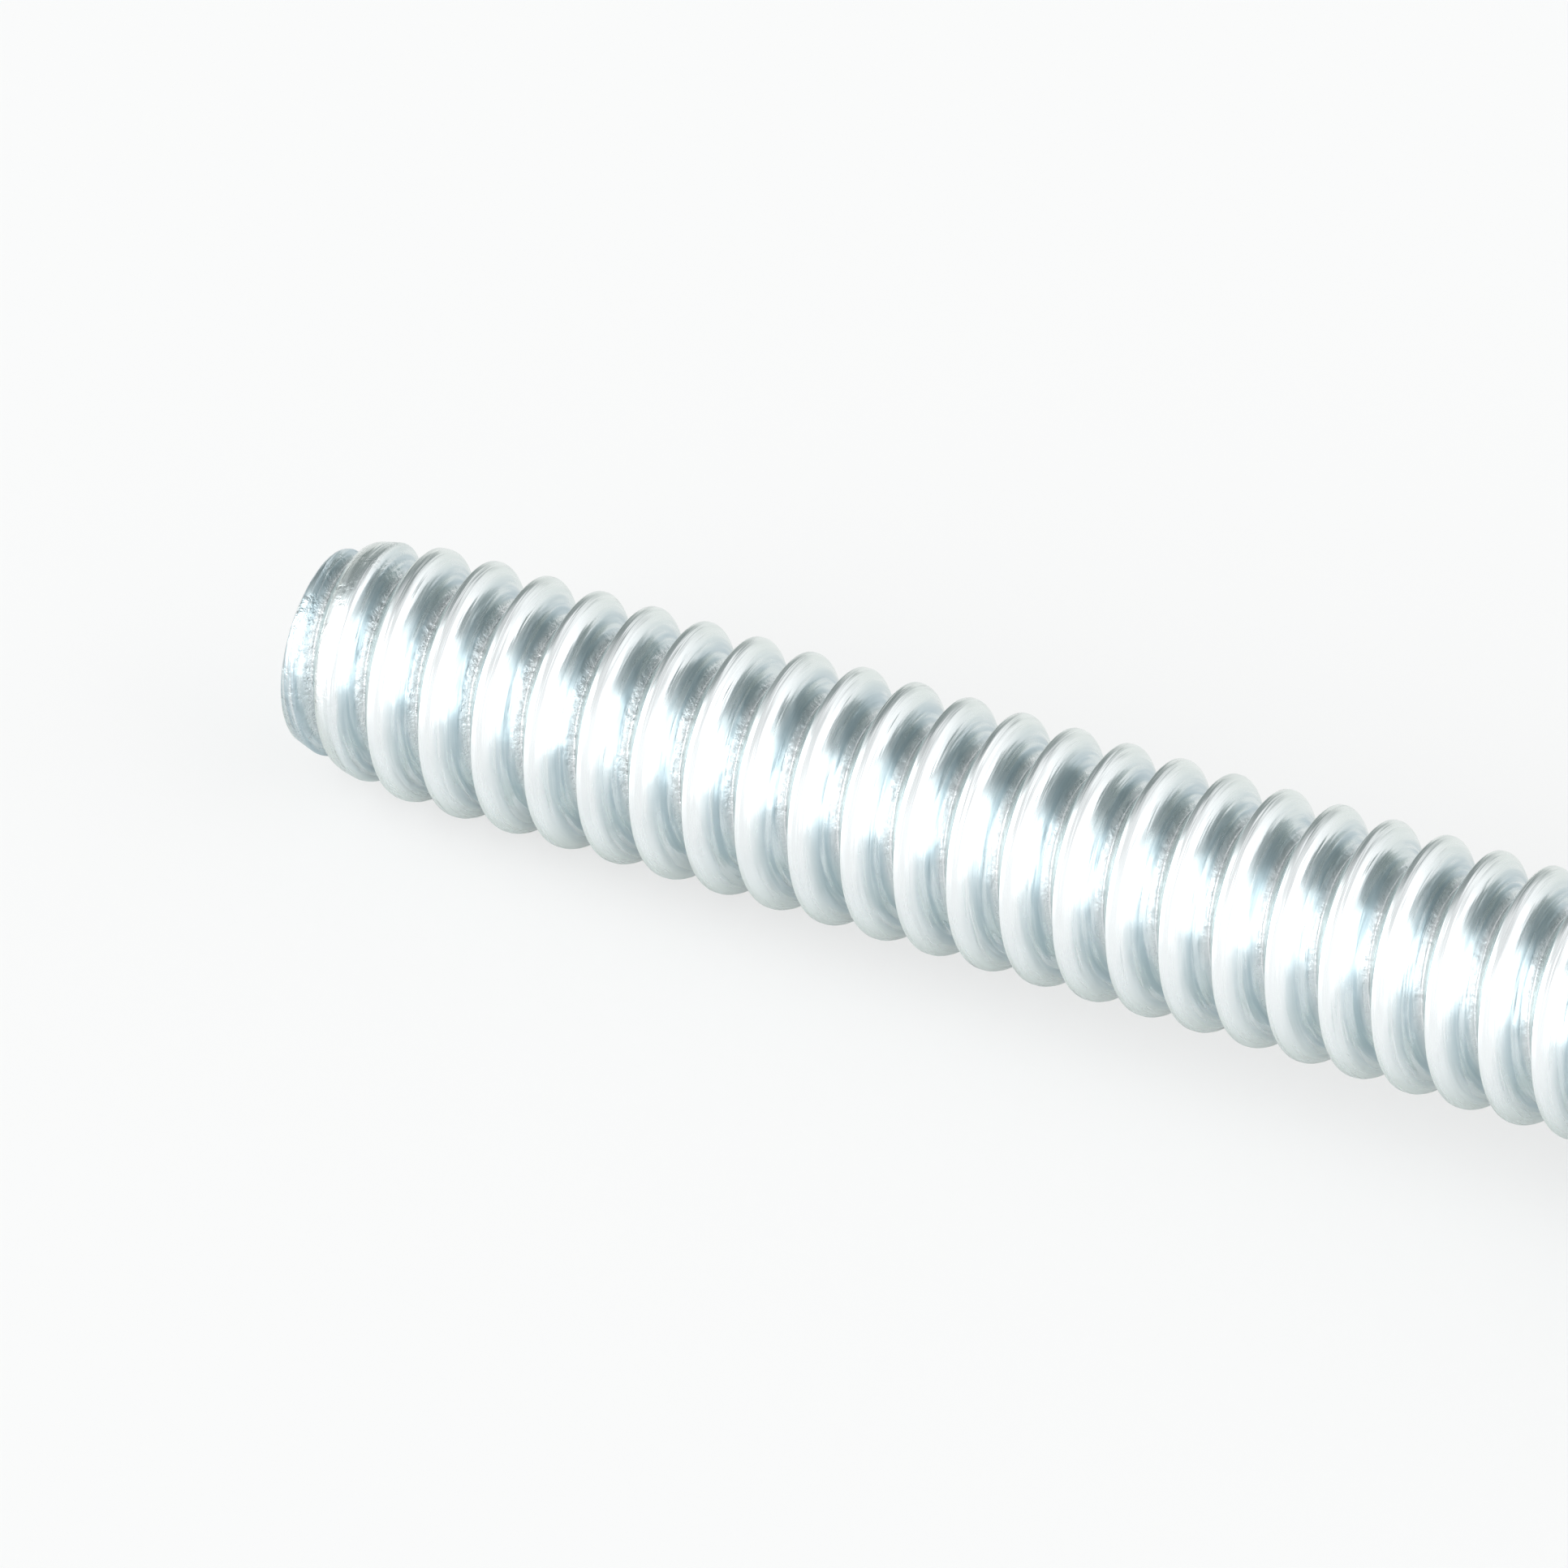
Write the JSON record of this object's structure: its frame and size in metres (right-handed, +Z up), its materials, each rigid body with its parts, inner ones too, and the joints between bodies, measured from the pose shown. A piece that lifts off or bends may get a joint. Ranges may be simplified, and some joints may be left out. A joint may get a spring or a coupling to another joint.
{
  "type": "machine screw",
  "caption": "Fully threaded pan head machine screw with a cross recess, bright zinc plated, for a tapped hole or a nut of the same unified coarse thread.",
  "frame": {"origin": "middle of the footprint on the ground that the screw lies on", "axes": "+X from the point towards the head along the ground, +Z up; the screw's own axis leans 3.9 degrees up towards the head"},
  "size_m": [0.0278, 0.0066, 0.0067],
  "materials": {
    "zinc_plated_steel": "bright clear zinc plating with rolling marks along the thread"
  },
  "bodies": {
    "root": {"machine_screw": "zinc_plated_steel"}
  },
  "joints": []
}
